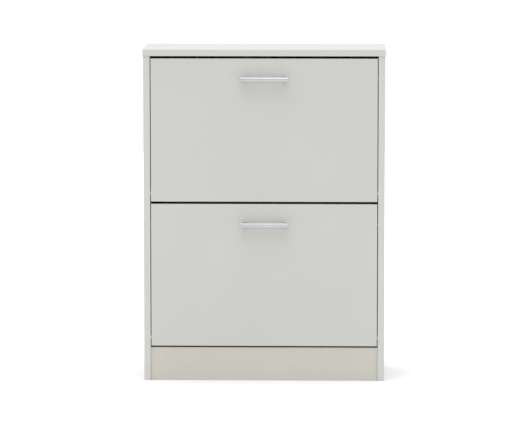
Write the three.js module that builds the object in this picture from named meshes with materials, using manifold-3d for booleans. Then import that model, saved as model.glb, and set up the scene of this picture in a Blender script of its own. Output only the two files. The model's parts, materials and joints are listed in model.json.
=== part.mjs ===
// Shoe cabinet with two tilting flaps, built flat-pack: a board carcass, and in it two fronts that each
// carry a two-row shoe rack and turn about pins near their lower edge.
// Millimetres, +Z up. The front faces -Y and +X is to the right of someone who faces it. The origin is on
// the floor, under the middle of the closed cabinet's box, handles included.
import * as THREE from "three";
import { mergeVertices } from "three/addons/utils/BufferGeometryUtils.js";
import Module from "manifold-3d";

const wasm = await Module();
wasm.setup();

// ---- Driving dimensions ---------------------------------------------------------------------------------

const HEIGHT = 825;
const TOP_WIDTH = 600;
const BODY_WIDTH = 597;
const CABINET_DEPTH = 240; // from the front edge of the top to the rear face of the back boards
const BOARD = 16; // particleboard
const BACK_BOARD = 3; // hardboard, for the back and the racks
const TOP_OVERHANG = 2; // of the top, past the fronts

const FRONT_WIDTH = 561;
const FRONT_HEIGHT = 355;
const GAP_UNDER_TOP = 6;
const GAP_BETWEEN_FRONTS = 6;
const GAP_OVER_PLINTH = 4;
const PLINTH_SETBACK = 3;

const OPEN_ANGLE = 45; // degrees
const AXIS_HEIGHT = 20; // of the hinge axis, above the lower edge of its front

const HANDLE_REACH = 25; // from the front's face to the outside of the bar
const HANDLE_LENGTH = 119;
const HANDLE_HEIGHT = 12;
const HANDLE_BAR = 7; // thickness
const HANDLE_CENTRES = 96; // distance between the two screws
const HANDLE_DROP = 51; // from the front's upper edge to the handle's middle

const FIT_GAP = 0.3; // between pieces that are fastened or pressed together
const ROUND = 12; // sides of a turned piece
const OVERRUN = 1; // of a cutting solid, past the face it cuts

// ---- Places worked out from them ------------------------------------------------------------------------

const DEPTH = CABINET_DEPTH - TOP_OVERHANG + HANDLE_REACH;
const REAR_Y = DEPTH / 2;
const PANEL_REAR_Y = REAR_Y - BACK_BOARD;
const TOP_FRONT_Y = REAR_Y - CABINET_DEPTH;
const FRONT_FACE_Y = TOP_FRONT_Y + TOP_OVERHANG;
const AXIS_Y = FRONT_FACE_Y + BOARD / 2;
const SIDE_OUTER_X = BODY_WIDTH / 2;
const SIDE_INNER_X = SIDE_OUTER_X - BOARD;
const TOP_UNDERSIDE_Z = HEIGHT - BOARD;
const UPPER_FRONT_Z = TOP_UNDERSIDE_Z - GAP_UNDER_TOP - FRONT_HEIGHT;
const LOWER_FRONT_Z = UPPER_FRONT_Z - GAP_BETWEEN_FRONTS - FRONT_HEIGHT;
const PLINTH_TOP_Z = LOWER_FRONT_Z - GAP_OVER_PLINTH;
const FLAPS = [
  { name: "upper", axisZ: UPPER_FRONT_Z + AXIS_HEIGHT },
  { name: "lower", axisZ: LOWER_FRONT_Z + AXIS_HEIGHT },
];
const SIDES = [
  { name: "left", sign: -1 },
  { name: "right", sign: 1 },
];

// ---- Materials ------------------------------------------------------------------------------------------

function material(color, roughness, metalness = 0) {
  return new THREE.MeshStandardMaterial({ color, roughness, metalness });
}

const FOIL = material(0xd0d1cb, 0.45);
const PLINTH_FOIL = material(0xcbc7bf, 0.5);
const HARDBOARD = material(0x8a6847, 0.8);
const RACK_BOARD = material(0xc9c8c2, 0.6);
const RACK_PLASTIC = material(0xd6d6d0, 0.5);
const NYLON = material(0xdedcd4, 0.5);
const SATIN_METAL = material(0xc9cad0, 0.3, 1);
const ZINC_STEEL = material(0xa9abad, 0.35, 1);

// ---- Solids ---------------------------------------------------------------------------------------------

// A closed geometry as a manifold-3d solid.
function solid(geometry) {
  const bare = geometry.clone();
  bare.deleteAttribute("normal");
  bare.deleteAttribute("uv");
  const merged = mergeVertices(bare, 1e-4);
  return new wasm.Manifold(
    new wasm.Mesh({
      numProp: 3,
      vertProperties: merged.attributes.position.array,
      triVerts: new Uint32Array(merged.index.array),
    }),
  );
}

// A manifold-3d solid as a geometry.
function geometryOf(manifold) {
  const { vertProperties, triVerts } = manifold.getMesh();
  const geometry = new THREE.BufferGeometry();
  geometry.setAttribute("position", new THREE.BufferAttribute(vertProperties, 3));
  geometry.setIndex(new THREE.BufferAttribute(triVerts, 1));
  geometry.computeVertexNormals();
  return geometry;
}

function cut(geometry, ...tools) {
  return geometryOf(tools.reduce((rest, tool) => rest.subtract(solid(tool)), solid(geometry)));
}

function join(...geometries) {
  return geometryOf(geometries.map(solid).reduce((sum, next) => sum.add(next)));
}

// A box between two values on each axis.
function box([x0, x1], [y0, y1], [z0, z1]) {
  const geometry = new THREE.BoxGeometry(Math.abs(x1 - x0), Math.abs(y1 - y0), Math.abs(z1 - z0));
  return geometry.translate((x0 + x1) / 2, (y0 + y1) / 2, (z0 + z1) / 2);
}

// A solid turned about the X axis: the profile's points are [x, radius].
function turnedOnX(profile, [y, z]) {
  const points = profile.map(([x, radius]) => new THREE.Vector2(radius, x));
  const geometry = new THREE.LatheGeometry(points, ROUND);
  return geometry.rotateZ(-Math.PI / 2).translate(0, y, z);
}

// A solid turned about the Y axis: the profile's points are [y, radius].
function turnedOnY(profile, [x, z]) {
  const points = profile.map(([y, radius]) => new THREE.Vector2(radius, y));
  return new THREE.LatheGeometry(points, ROUND).translate(x, 0, z);
}

// A solid turned about the Z axis: the profile's points are [z, radius].
function turnedOnZ(profile, [x, y]) {
  const points = profile.map(([z, radius]) => new THREE.Vector2(radius, z));
  return new THREE.LatheGeometry(points, ROUND).rotateX(Math.PI / 2).translate(x, y, 0);
}

// The profile of a plain rod from one end to the other, with its ends on the axis.
function rod(from, to, radius) {
  const [low, high] = [Math.min(from, to), Math.max(from, to)];
  return [
    [low, 0],
    [low, radius],
    [high, radius],
    [high, 0],
  ];
}

// Turns what is drawn in XY and extruded along Z into what is drawn in YZ and extruded along X.
const YZ_TO_X = new THREE.Matrix4().set(0, 0, 1, 0, 1, 0, 0, 0, 0, 1, 0, 0, 0, 0, 0, 1);

// A shape drawn in the YZ plane, as a slab between two values of X.
function slab(shape, x0, x1, curveSegments = 12) {
  const depth = Math.abs(x1 - x0);
  const geometry = new THREE.ExtrudeGeometry(shape, { depth, bevelEnabled: false, curveSegments });
  geometry.applyMatrix4(YZ_TO_X);
  return geometry.translate(Math.min(x0, x1), 0, 0);
}

// The unit vector from one point to another.
function direction([y0, z0], [y1, z1]) {
  return new THREE.Vector2(y1 - y0, z1 - z0).normalize();
}

// A straight strip of even width between two points, as a shape.
function strip([y0, z0], [y1, z1], width) {
  const along = direction([y0, z0], [y1, z1]);
  const across = new THREE.Vector2(-along.y, along.x).multiplyScalar(width / 2);
  return new THREE.Shape([
    new THREE.Vector2(y0 - across.x, z0 - across.y),
    new THREE.Vector2(y1 - across.x, z1 - across.y),
    new THREE.Vector2(y1 + across.x, z1 + across.y),
    new THREE.Vector2(y0 + across.x, z0 + across.y),
  ]);
}

function named(name, geometry, look) {
  const mesh = new THREE.Mesh(geometry, look);
  mesh.name = name;
  return mesh;
}

// ---- Hinge and stop hardware ----------------------------------------------------------------------------

const PIN_RADIUS = 3;
const PIN_IN_FRONT = 18;
const PIN_IN_SIDE = 9.5;
const RUNNING_GAP = 0.06;
const BUSH_BORE = (PIN_RADIUS + RUNNING_GAP) / Math.cos(Math.PI / ROUND); // its flats clear the pin
const BUSH_RADIUS = 5;
const BUSH_LENGTH = 10.5;
const BUSH_FLANGE = { radius: 7, thickness: 1 };

const PEG_RADIUS = 4;
const PEG_COLLAR = { radius: 7, thickness: 2 };
const PEG_SHANK = { radius: 2.5, length: 10 };
const PEG_REACH = 9.9; // into the cheek's groove, from the side panel
const PEG_TIP_X = SIDE_INNER_X - PEG_REACH;
const PEG_CHAMFER = 0.6;
const PIN_CHAMFER = 0.5;
const STOP_RADIUS = 120; // of the peg's path about the hinge axis
const STOP_ANGLE = THREE.MathUtils.degToRad(78); // of the peg above the horizontal, seen from the axis
const PEG_Y = STOP_RADIUS * Math.cos(STOP_ANGLE); // from the axis
const PEG_Z = STOP_RADIUS * Math.sin(STOP_ANGLE);

// A nylon flanged bush, pressed into the side panel, that the hinge pin turns in.
function pivotBush(sign, axisZ) {
  const inner = SIDE_INNER_X - BUSH_FLANGE.thickness;
  const outer = SIDE_INNER_X + BUSH_LENGTH;
  const profile = [
    [inner, BUSH_BORE],
    [inner, BUSH_FLANGE.radius],
    [SIDE_INNER_X, BUSH_FLANGE.radius],
    [SIDE_INNER_X, BUSH_RADIUS],
    [outer, BUSH_RADIUS],
    [outer, BUSH_BORE],
    [inner, BUSH_BORE],
  ];
  return turnedOnX(mirrored(profile, sign), [AXIS_Y, axisZ]);
}

// A nylon peg in the side panel. It runs in the rack's curved groove, whose ends stop the flap.
function stopPeg(sign, axisZ) {
  const collar = SIDE_INNER_X - PEG_COLLAR.thickness;
  const profile = [
    [PEG_TIP_X, 0],
    [PEG_TIP_X, PEG_RADIUS - PEG_CHAMFER],
    [PEG_TIP_X + PEG_CHAMFER, PEG_RADIUS],
    [collar, PEG_RADIUS],
    [collar, PEG_COLLAR.radius],
    [SIDE_INNER_X, PEG_COLLAR.radius],
    [SIDE_INNER_X, PEG_SHANK.radius],
    [SIDE_INNER_X + PEG_SHANK.length, PEG_SHANK.radius],
    [SIDE_INNER_X + PEG_SHANK.length, 0],
  ];
  return turnedOnX(mirrored(profile, sign), [AXIS_Y + PEG_Y, axisZ + PEG_Z]);
}

// A turned profile for either side of the cabinet. Its direction keeps the surface facing out.
function mirrored(profile, sign) {
  const placed = profile.map(([x, radius]) => [sign * x, radius]);
  return sign > 0 ? placed : placed.reverse();
}

// How a pan head narrows: straight to half its height, then in to this share of its radius.
const PAN_STRAIGHT = 0.5;
const PAN_CROWN = 0.6;

// A pan-headed screw along Y whose head rests on a face at seatY, with its shank towards -Y.
function panScrew([x, z], seatY, { radius, length, headRadius, headHeight }) {
  const profile = [
    [seatY - length, 0],
    [seatY - length + radius, radius],
    [seatY, radius],
    [seatY, headRadius],
    [seatY + headHeight * PAN_STRAIGHT, headRadius],
    [seatY + headHeight, headRadius * PAN_CROWN],
    [seatY + headHeight, 0],
  ];
  return turnedOnY(profile, [x, z]);
}

// ---- Carcass --------------------------------------------------------------------------------------------

const CAM = { radius: 7.5, depth: 12.5, drop: 34, inset: 37 };
const CAM_Z = TOP_UNDERSIDE_Z - CAM.drop;
const CAM_BOLT = { radius: 3, top: TOP_UNDERSIDE_Z + 11 };
const CAM_PLACES = [
  { name: "front", y: FRONT_FACE_Y + CAM.inset },
  { name: "rear", y: PANEL_REAR_Y - CAM.inset },
];

const RAIL_HEIGHT = 80;
const BACK_JOINT_Z = UPPER_FRONT_Z - GAP_BETWEEN_FRONTS / 2;
const BACK_TOP_Z = TOP_UNDERSIDE_Z - FIT_GAP;
const BACK_BOTTOM_Z = PLINTH_TOP_Z - BOARD;
const BACK_INSET = 4; // of the back boards' side edges, inside the cabinet's sides
const BACK_WIDTH = BODY_WIDTH - 2 * BACK_INSET;
const HALF_BACK_JOINT = 0.5;
const BRACKET = { width: 30, leg: 30, thickness: 2, hole: 2.6 };
const WALL_HOLE_DROP = 23; // below the top panel, out of sight through the gap under it
const BRACKET_SCREW_REACH = 18; // in front of the back boards
const BRACKET_SCREW = { radius: 2, length: 11, headRadius: 4, headHeight: 2.4 };

function topPanel() {
  const board = box([-TOP_WIDTH / 2, TOP_WIDTH / 2], [TOP_FRONT_Y, REAR_Y], [TOP_UNDERSIDE_Z, HEIGHT]);
  const boltHoles = SIDES.flatMap(({ sign }) =>
    CAM_PLACES.map(({ y }) => {
      const end = CAM_BOLT.top + FIT_GAP;
      return turnedOnZ(rod(TOP_UNDERSIDE_Z - OVERRUN, end, CAM_BOLT.radius + FIT_GAP), [camBoltX(sign), y]);
    }),
  );
  return cut(board, bracketScrewHole(), ...boltHoles);
}

// A side board, drilled for the hinge bushes, the stop pegs and the cam fittings.
function sidePanel(sign) {
  const board = box(
    [sign * SIDE_INNER_X, sign * SIDE_OUTER_X],
    [FRONT_FACE_Y, PANEL_REAR_Y],
    [0, TOP_UNDERSIDE_Z],
  );
  const bores = FLAPS.flatMap(({ axisZ }) => [
    turnedOnX(sideBore(sign, BUSH_RADIUS, BUSH_LENGTH), [AXIS_Y, axisZ]),
    turnedOnX(sideBore(sign, PEG_SHANK.radius, PEG_SHANK.length), [AXIS_Y + PEG_Y, axisZ + PEG_Z]),
  ]);
  const cams = CAM_PLACES.flatMap(({ y }) => [
    turnedOnX(sideBore(sign, CAM.radius, CAM.depth), [y, CAM_Z]),
    turnedOnZ(rod(CAM_Z, TOP_UNDERSIDE_Z + OVERRUN, CAM_BOLT.radius + FIT_GAP), [camBoltX(sign), y]),
  ]);
  return cut(board, ...bores, ...cams);
}

// The profile of a blind hole in a side panel's inner face, with room round what goes in it.
function sideBore(sign, radius, depth) {
  const [mouth, end] = [SIDE_INNER_X - OVERRUN, SIDE_INNER_X + depth + FIT_GAP];
  return rod(sign * mouth, sign * end, radius + FIT_GAP);
}

// A cam sits in a side panel's inner face. It draws the bolt, and with it the top panel, down.
function cam(sign, y) {
  const rear = SIDE_INNER_X + CAM.depth;
  const body = turnedOnX(rod(sign * SIDE_INNER_X, sign * rear, CAM.radius), [y, CAM_Z]);
  const mouth = rod(CAM_Z - CAM_BOLT.radius, CAM_Z + CAM.radius + OVERRUN, CAM_BOLT.radius + FIT_GAP);
  return cut(body, turnedOnZ(mouth, [camBoltX(sign), y]));
}

// The bolt screws into the top panel's underside and ends in the cam.
function camBolt(sign, y) {
  const foot = CAM_Z - CAM_BOLT.radius + FIT_GAP;
  return turnedOnZ(rod(foot, CAM_BOLT.top, CAM_BOLT.radius), [camBoltX(sign), y]);
}

function camBoltX(sign) {
  return sign * (SIDE_INNER_X + BOARD / 2);
}

function basePanel() {
  return box(
    [-SIDE_INNER_X, SIDE_INNER_X],
    [FRONT_FACE_Y + PLINTH_SETBACK + BOARD, PANEL_REAR_Y],
    [PLINTH_TOP_Z - BOARD, PLINTH_TOP_Z],
  );
}

function plinth() {
  const face = FRONT_FACE_Y + PLINTH_SETBACK;
  return box([-SIDE_INNER_X, SIDE_INNER_X], [face, face + BOARD], [0, PLINTH_TOP_Z]);
}

// The rail across the back, which ties the sides together and takes the edges of both back boards.
function middleRail() {
  return box(
    [-SIDE_INNER_X, SIDE_INNER_X],
    [PANEL_REAR_Y - BOARD, PANEL_REAR_Y],
    [BACK_JOINT_Z - RAIL_HEIGHT / 2, BACK_JOINT_Z + RAIL_HEIGHT / 2],
  );
}

function backBoard(bottomZ, topZ) {
  return box([-BACK_WIDTH / 2, BACK_WIDTH / 2], [PANEL_REAR_Y, REAR_Y], [bottomZ, topZ]);
}

// The upper back board, with a hole behind the wall bracket for the screw into the wall.
function upperBackBoard() {
  const board = backBoard(BACK_JOINT_Z + HALF_BACK_JOINT, BACK_TOP_Z);
  return cut(board, wallScrewHole());
}

function wallScrewHole() {
  const z = TOP_UNDERSIDE_Z - WALL_HOLE_DROP;
  const from = PANEL_REAR_Y - BRACKET.thickness - OVERRUN;
  return turnedOnY(rod(from, REAR_Y + OVERRUN, BRACKET.hole), [0, z]);
}

function bracketScrewY() {
  return PANEL_REAR_Y - BRACKET_SCREW_REACH;
}

function bracketScrewHole() {
  const { radius, length } = BRACKET_SCREW;
  const from = TOP_UNDERSIDE_Z - BRACKET.thickness - OVERRUN;
  const to = TOP_UNDERSIDE_Z - BRACKET.thickness + length + FIT_GAP;
  return turnedOnZ(rod(from, to, radius + FIT_GAP), [0, bracketScrewY()]);
}

// A steel angle under the top, against the back, that a screw through the back ties to the wall.
function wallBracket() {
  const { width, leg, thickness } = BRACKET;
  const across = [-width / 2, width / 2];
  const [rear, top] = [PANEL_REAR_Y, TOP_UNDERSIDE_Z];
  const flat = box(across, [rear - leg, rear], [top - thickness, top]);
  const upright = box(across, [rear - thickness, rear], [top - leg, top]);
  return cut(join(flat, upright), bracketScrewHole(), wallScrewHole());
}

// The screw that holds the wall bracket up against the top panel.
function bracketScrew() {
  const { radius, length, headRadius, headHeight } = BRACKET_SCREW;
  const seat = TOP_UNDERSIDE_Z - BRACKET.thickness;
  const profile = [
    [seat - headHeight, 0],
    [seat - headHeight, headRadius * PAN_CROWN],
    [seat - headHeight * PAN_STRAIGHT, headRadius],
    [seat, headRadius],
    [seat, radius],
    [seat + length - radius, radius],
    [seat + length, 0],
  ];
  return turnedOnZ(profile, [0, bracketScrewY()]);
}

function carcass() {
  const group = new THREE.Group();
  group.add(
    named("top_panel", topPanel(), FOIL),
    named("base_panel", basePanel(), FOIL),
    named("plinth", plinth(), PLINTH_FOIL),
    named("middle_rail", middleRail(), FOIL),
    named("wall_bracket", wallBracket(), ZINC_STEEL),
    named("bracket_screw", bracketScrew(), ZINC_STEEL),
    named("back_board_upper", upperBackBoard(), HARDBOARD),
    named("back_board_lower", backBoard(BACK_BOTTOM_Z, BACK_JOINT_Z - HALF_BACK_JOINT), HARDBOARD),
  );
  for (const { name, sign } of SIDES) {
    group.add(named(`side_panel_${name}`, sidePanel(sign), FOIL));
    for (const place of CAM_PLACES) {
      group.add(
        named(`cam_${place.name}_${name}`, cam(sign, place.y), ZINC_STEEL),
        named(`cam_bolt_${place.name}_${name}`, camBolt(sign, place.y), ZINC_STEEL),
      );
    }
    for (const flap of FLAPS) {
      group.add(
        named(`${flap.name}_bush_${name}`, pivotBush(sign, flap.axisZ), NYLON),
        named(`${flap.name}_stop_peg_${name}`, stopPeg(sign, flap.axisZ), NYLON),
      );
    }
  }
  return group;
}

// ---- Flap, in a frame whose X axis is the hinge axis ----------------------------------------------------

const INSIDE_Y = BOARD / 2; // the front's inner face
const FRONT_TOP = FRONT_HEIGHT - AXIS_HEIGHT;
const HANDLE_Z = FRONT_TOP - HANDLE_DROP;
const HANDLE_POST_RADIUS = 5;
const HANDLE_BEVEL = 1.2;
const GUIDE = { radius: 4, stemRadius: 1.5, stemLength: 8, crown: 0.8, crownInset: 1.4, sideGap: 0.4 };
const GUIDE_DROP = 53; // from the front's top edge
const GUIDE_Z = FRONT_TOP - GUIDE_DROP;
const HANDLE_SCREW = { radius: 2, length: 25, headRadius: 4.2, headHeight: 2.6 };

// The rack's ends are moulded plates, held to the front by a flange and two screws each.
const CHEEK_GAP = 7; // to the side panel, for the stop peg's collar
const CHEEK_OUTER_X = SIDE_INNER_X - CHEEK_GAP;
const CHEEK = { outerX: CHEEK_OUTER_X, plate: 5, rimDepth: 14, rim: 2.5, flange: 3, flangeWidth: 20 };
const CHEEK_SCREW = { radius: 1.75, length: 14, headRadius: 4, headHeight: 2.4 };
const CHEEK_SCREW_INSET = 13;
const CHEEK_SCREW_X = CHEEK.outerX - CHEEK_SCREW_INSET;
const CHEEK_SCREW_HEIGHTS = [36, 282];
const CHEEK_BOTTOM = -10;
const CHEEK_TOP = 318;
const CHEEK_ARC = 326; // of the rounded upper rear corner, about the hinge axis
const CHEEK_REAR_FOOT = 160; // where the sloping rear edge meets the bottom
const CHEEK_REAR_SLOPE = 46 / 260; // how far the rear edge leans back for each millimetre of height
const GROOVE = { depth: 3.5, clearance: 0.4 };

const SLOT_GAP = 0.25;
const BOARD_SLOT = BACK_BOARD + 2 * SLOT_GAP; // room for a rack board between two ribs
const RIB = 2;
const RIB_DEPTH = 9;
const SLOT_RUN_OUT = 8;
const FOOT_LIFT = 0.5;
const RIB_ROOT = 1; // how deep the ribs start in the plate
const FLOOR_Z = -3.5; // the middle of the rack's floor board
const FLOOR_REAR_GAP = 1.3;
const DIVIDER = { foot: [84, 0], head: [106, 216] };
const REAR_BOARD_Z = { foot: 0, head: 242 };

function front() {
  const board = box(
    [-FRONT_WIDTH / 2, FRONT_WIDTH / 2],
    [-INSIDE_Y, INSIDE_Y],
    [-AXIS_HEIGHT, FRONT_TOP],
  );
  const pinHoles = SIDES.map(({ sign }) => {
    const from = sign * (FRONT_WIDTH / 2 - PIN_IN_FRONT - FIT_GAP);
    return turnedOnX(rod(from, sign * (FRONT_WIDTH / 2 + OVERRUN), PIN_RADIUS + FIT_GAP), [0, 0]);
  });
  const handleHoles = SIDES.map(({ sign }) =>
    turnedOnY(rod(-BOARD, BOARD, HANDLE_SCREW.radius + FIT_GAP), [(sign * HANDLE_CENTRES) / 2, HANDLE_Z]),
  );
  const rackHoles = SIDES.flatMap(({ sign }) =>
    CHEEK_SCREW_HEIGHTS.map((z) => {
      const end = INSIDE_Y + FIT_GAP + CHEEK.flange - CHEEK_SCREW.length - FIT_GAP;
      return turnedOnY(rod(end, BOARD, CHEEK_SCREW.radius + FIT_GAP), [sign * CHEEK_SCREW_X, z]);
    }),
  );
  const guideHoles = SIDES.map(({ sign }) => {
    const from = sign * (FRONT_WIDTH / 2 - GUIDE.stemLength - FIT_GAP);
    const mouth = sign * (FRONT_WIDTH / 2 + OVERRUN);
    return turnedOnX(rod(from, mouth, GUIDE.stemRadius + FIT_GAP), [0, GUIDE_Z]);
  });
  return cut(board, ...pinHoles, ...handleHoles, ...rackHoles, ...guideHoles);
}

function hingePin(sign) {
  const inner = FRONT_WIDTH / 2 - PIN_IN_FRONT;
  const outer = SIDE_INNER_X + PIN_IN_SIDE;
  const profile = [
    [inner, 0],
    [inner, PIN_RADIUS - PIN_CHAMFER],
    [inner + PIN_CHAMFER, PIN_RADIUS],
    [outer - PIN_CHAMFER, PIN_RADIUS],
    [outer, PIN_RADIUS - PIN_CHAMFER],
    [outer, 0],
  ];
  return turnedOnX(mirrored(profile, sign), [0, 0]);
}

// A straight bar, flat behind and rounded outside, on two round posts.
function handle() {
  const halfHeight = HANDLE_HEIGHT / 2 - HANDLE_BEVEL;
  const rear = HANDLE_BAR - HANDLE_REACH - HANDLE_BEVEL;
  const crown = HANDLE_BAR - 2 * HANDLE_BEVEL;
  const section = new THREE.Shape();
  section.moveTo(rear, -halfHeight);
  section.lineTo(rear, halfHeight);
  section.absellipse(rear, 0, crown, halfHeight, Math.PI / 2, 1.5 * Math.PI, false);
  const length = HANDLE_LENGTH - 2 * HANDLE_BEVEL;
  const bar = new THREE.ExtrudeGeometry(section, {
    depth: length,
    bevelThickness: HANDLE_BEVEL,
    bevelSize: HANDLE_BEVEL,
    bevelSegments: 1,
    curveSegments: 8,
  });
  bar.applyMatrix4(YZ_TO_X);
  bar.translate(-length / 2, 0, 0);
  const postEnd = HANDLE_BAR / 2 - HANDLE_REACH;
  const screwEnd = BOARD - HANDLE_SCREW.length - FIT_GAP;
  const posts = SIDES.map(({ sign }) =>
    turnedOnY(rod(postEnd, -FIT_GAP, HANDLE_POST_RADIUS), [(sign * HANDLE_CENTRES) / 2, 0]),
  );
  const tapped = SIDES.map(({ sign }) =>
    turnedOnY(rod(screwEnd, OVERRUN, HANDLE_SCREW.radius + FIT_GAP), [(sign * HANDLE_CENTRES) / 2, 0]),
  );
  return cut(join(bar, ...posts), ...tapped).translate(0, -INSIDE_Y, HANDLE_Z);
}

// A nylon button in the front's side edge, which keeps the front centred between the side panels.
function guideButton(sign) {
  const seat = FRONT_WIDTH / 2;
  const { radius, stemRadius, stemLength, crown, crownInset } = GUIDE;
  const tip = SIDE_INNER_X - GUIDE.sideGap;
  const profile = [
    [seat - stemLength, 0],
    [seat - stemLength, stemRadius],
    [seat, stemRadius],
    [seat, radius],
    [tip - crown, radius],
    [tip, radius - crownInset],
    [tip, 0],
  ];
  return turnedOnX(mirrored(profile, sign), [0, GUIDE_Z]);
}

// The rear edge of a cheek, moved in by inset: how far back it is at a height.
function cheekRear(z, inset) {
  const level = Math.hypot(1, CHEEK_REAR_SLOPE);
  return CHEEK_REAR_FOOT + (z - CHEEK_BOTTOM) * CHEEK_REAR_SLOPE - inset * level;
}

// A cheek's outline, moved in by inset. The upper rear corner follows a circle about the hinge axis, so
// that it clears the board or the rack above as the flap turns.
function cheekOutline(inset) {
  const radius = CHEEK_ARC - inset;
  const top = CHEEK_TOP - inset;
  const from = Math.asin(top / radius);
  const foot = cheekRear(0, inset);
  const lean = 1 + CHEEK_REAR_SLOPE ** 2;
  const half = foot * CHEEK_REAR_SLOPE;
  const meetZ = (-half + Math.sqrt(half ** 2 - lean * (foot ** 2 - radius ** 2))) / lean;
  const to = Math.asin(meetZ / radius);
  const shape = new THREE.Shape();
  shape.moveTo(INSIDE_Y + FIT_GAP + inset, CHEEK_BOTTOM + inset);
  shape.lineTo(cheekRear(CHEEK_BOTTOM + inset, inset), CHEEK_BOTTOM + inset);
  shape.absarc(0, 0, radius, to, from, false);
  shape.lineTo(INSIDE_Y + FIT_GAP + inset, top);
  shape.closePath();
  return shape;
}

// The two ribs that a rack board's end slides between.
function boardRibs(from, to, x0, x1) {
  const along = direction(from, to);
  const reach = (BOARD_SLOT + RIB) / 2;
  return [-reach, reach].map((side) => {
    const shift = [-along.y * side, along.x * side];
    const start = [from[0] + shift[0], from[1] + shift[1]];
    const finish = [to[0] + shift[0], to[1] + shift[1]];
    return slab(strip(start, finish, RIB), x0, x1);
  });
}

// The middle line of the rear board, which stands just inside the cheek's rear rim.
function rearBoardLine() {
  const inset = CHEEK.rim + BOARD_SLOT / 2;
  return [REAR_BOARD_Z.foot, REAR_BOARD_Z.head].map((z) => [cheekRear(z, inset), z]);
}

function floorLine() {
  return [
    [INSIDE_Y + FIT_GAP + CHEEK.flange + FIT_GAP, FLOOR_Z],
    [cheekRear(FLOOR_Z, CHEEK.rim + FLOOR_REAR_GAP), FLOOR_Z],
  ];
}

// The curved groove in a cheek's outer face that the stop peg runs in.
function stopGroove(sign) {
  const reach = PEG_RADIUS + GROOVE.clearance;
  const open = STOP_ANGLE - THREE.MathUtils.degToRad(OPEN_ANGLE);
  const place = (angle) => [STOP_RADIUS * Math.cos(angle), STOP_RADIUS * Math.sin(angle)];
  const shape = new THREE.Shape();
  shape.absarc(0, 0, STOP_RADIUS + reach, open, STOP_ANGLE, false);
  shape.absarc(...place(STOP_ANGLE), reach, STOP_ANGLE, STOP_ANGLE + Math.PI, false);
  shape.absarc(0, 0, STOP_RADIUS - reach, STOP_ANGLE, open, true);
  shape.absarc(...place(open), reach, open + Math.PI, open + 2 * Math.PI, false);
  const surface = CHEEK.outerX;
  return slab(shape, sign * (surface - GROOVE.depth), sign * (surface + OVERRUN));
}

function cheek(sign) {
  const { outerX, plate, rimDepth, rim, flange, flangeWidth } = CHEEK;
  const x = (depth) => sign * (outerX - depth);
  const ring = cheekOutline(0);
  ring.holes.push(cheekOutline(rim));
  const [floorFrom, floorTo] = floorLine();
  const [rearFoot, rearHead] = rearBoardLine();
  const flangeY = [INSIDE_Y + FIT_GAP, INSIDE_Y + FIT_GAP + flange];
  const body = join(
    slab(cheekOutline(0), x(0), x(plate)),
    slab(ring, x(0), x(rimDepth)),
    box([x(0), x(flangeWidth)], flangeY, [CHEEK_BOTTOM, CHEEK_TOP]),
    ...boardRibs(floorFrom, floorTo, x(plate - RIB_ROOT), x(plate + RIB_DEPTH)),
    ...boardRibs(DIVIDER.foot, DIVIDER.head, x(plate - RIB_ROOT), x(plate + RIB_DEPTH)),
    ...boardRibs(rearFoot, rearHead, x(plate - RIB_ROOT), x(plate + RIB_DEPTH)),
  );
  const screws = CHEEK_SCREW_HEIGHTS.map((z) =>
    turnedOnY(rod(0, flangeY[1] + OVERRUN, CHEEK_SCREW.radius + FIT_GAP), [sign * CHEEK_SCREW_X, z]),
  );
  const slots = [
    [floorFrom, floorTo],
    [DIVIDER.foot, onward(DIVIDER.foot, DIVIDER.head)],
    [rearFoot, onward(rearFoot, rearHead)],
  ].map(([from, to]) => slab(strip(from, to, BOARD_SLOT), x(plate), x(plate + RIB_DEPTH + OVERRUN)));
  return cut(body, stopGroove(sign), ...screws, ...slots);
}

// A point past the head of a line, so that a slot cut along it is open at the top.
function onward(foot, head) {
  const along = direction(foot, head);
  return [head[0] + along.x * SLOT_RUN_OUT, head[1] + along.y * SLOT_RUN_OUT];
}

// A standing board's line, with its foot lifted clear of the floor board.
function standing(foot, head) {
  const along = direction(foot, head);
  return [[foot[0] + along.x * FOOT_LIFT, foot[1] + along.y * FOOT_LIFT], head];
}

// A hardboard sheet between the cheeks, standing or lying along a line in the YZ plane.
function rackBoard(from, to) {
  const reach = CHEEK.outerX - CHEEK.plate - FIT_GAP;
  return slab(strip(from, to, BACK_BOARD), -reach, reach);
}

function flap({ name, axisZ }) {
  const group = new THREE.Group();
  group.position.set(0, AXIS_Y, axisZ);
  group.add(
    named(`${name}_front`, front(), FOIL),
    named(`${name}_handle`, handle(), SATIN_METAL),
    named(`${name}_rack_floor`, rackBoard(...floorLine()), RACK_BOARD),
    named(`${name}_rack_divider`, rackBoard(...standing(DIVIDER.foot, DIVIDER.head)), RACK_BOARD),
    named(`${name}_rack_rear`, rackBoard(...standing(...rearBoardLine())), RACK_BOARD),
  );
  for (const side of SIDES) {
    const { sign } = side;
    const handleScrew = panScrew([(sign * HANDLE_CENTRES) / 2, HANDLE_Z], INSIDE_Y, HANDLE_SCREW);
    group.add(
      named(`${name}_hinge_pin_${side.name}`, hingePin(sign), ZINC_STEEL),
      named(`${name}_guide_button_${side.name}`, guideButton(sign), NYLON),
      named(`${name}_cheek_${side.name}`, cheek(sign), RACK_PLASTIC),
      named(`${name}_handle_screw_${side.name}`, handleScrew, ZINC_STEEL),
    );
    CHEEK_SCREW_HEIGHTS.forEach((z, i) => {
      const seat = INSIDE_Y + FIT_GAP + CHEEK.flange;
      const geometry = panScrew([sign * CHEEK_SCREW_X, z], seat, CHEEK_SCREW);
      group.add(named(`${name}_rack_screw_${side.name}_${i + 1}`, geometry, ZINC_STEEL));
    });
  }
  return group;
}

// ---- The cabinet ----------------------------------------------------------------------------------------

const cabinet = new THREE.Group();
cabinet.add(carcass(), ...FLAPS.map(flap));

export default cabinet;
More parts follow.
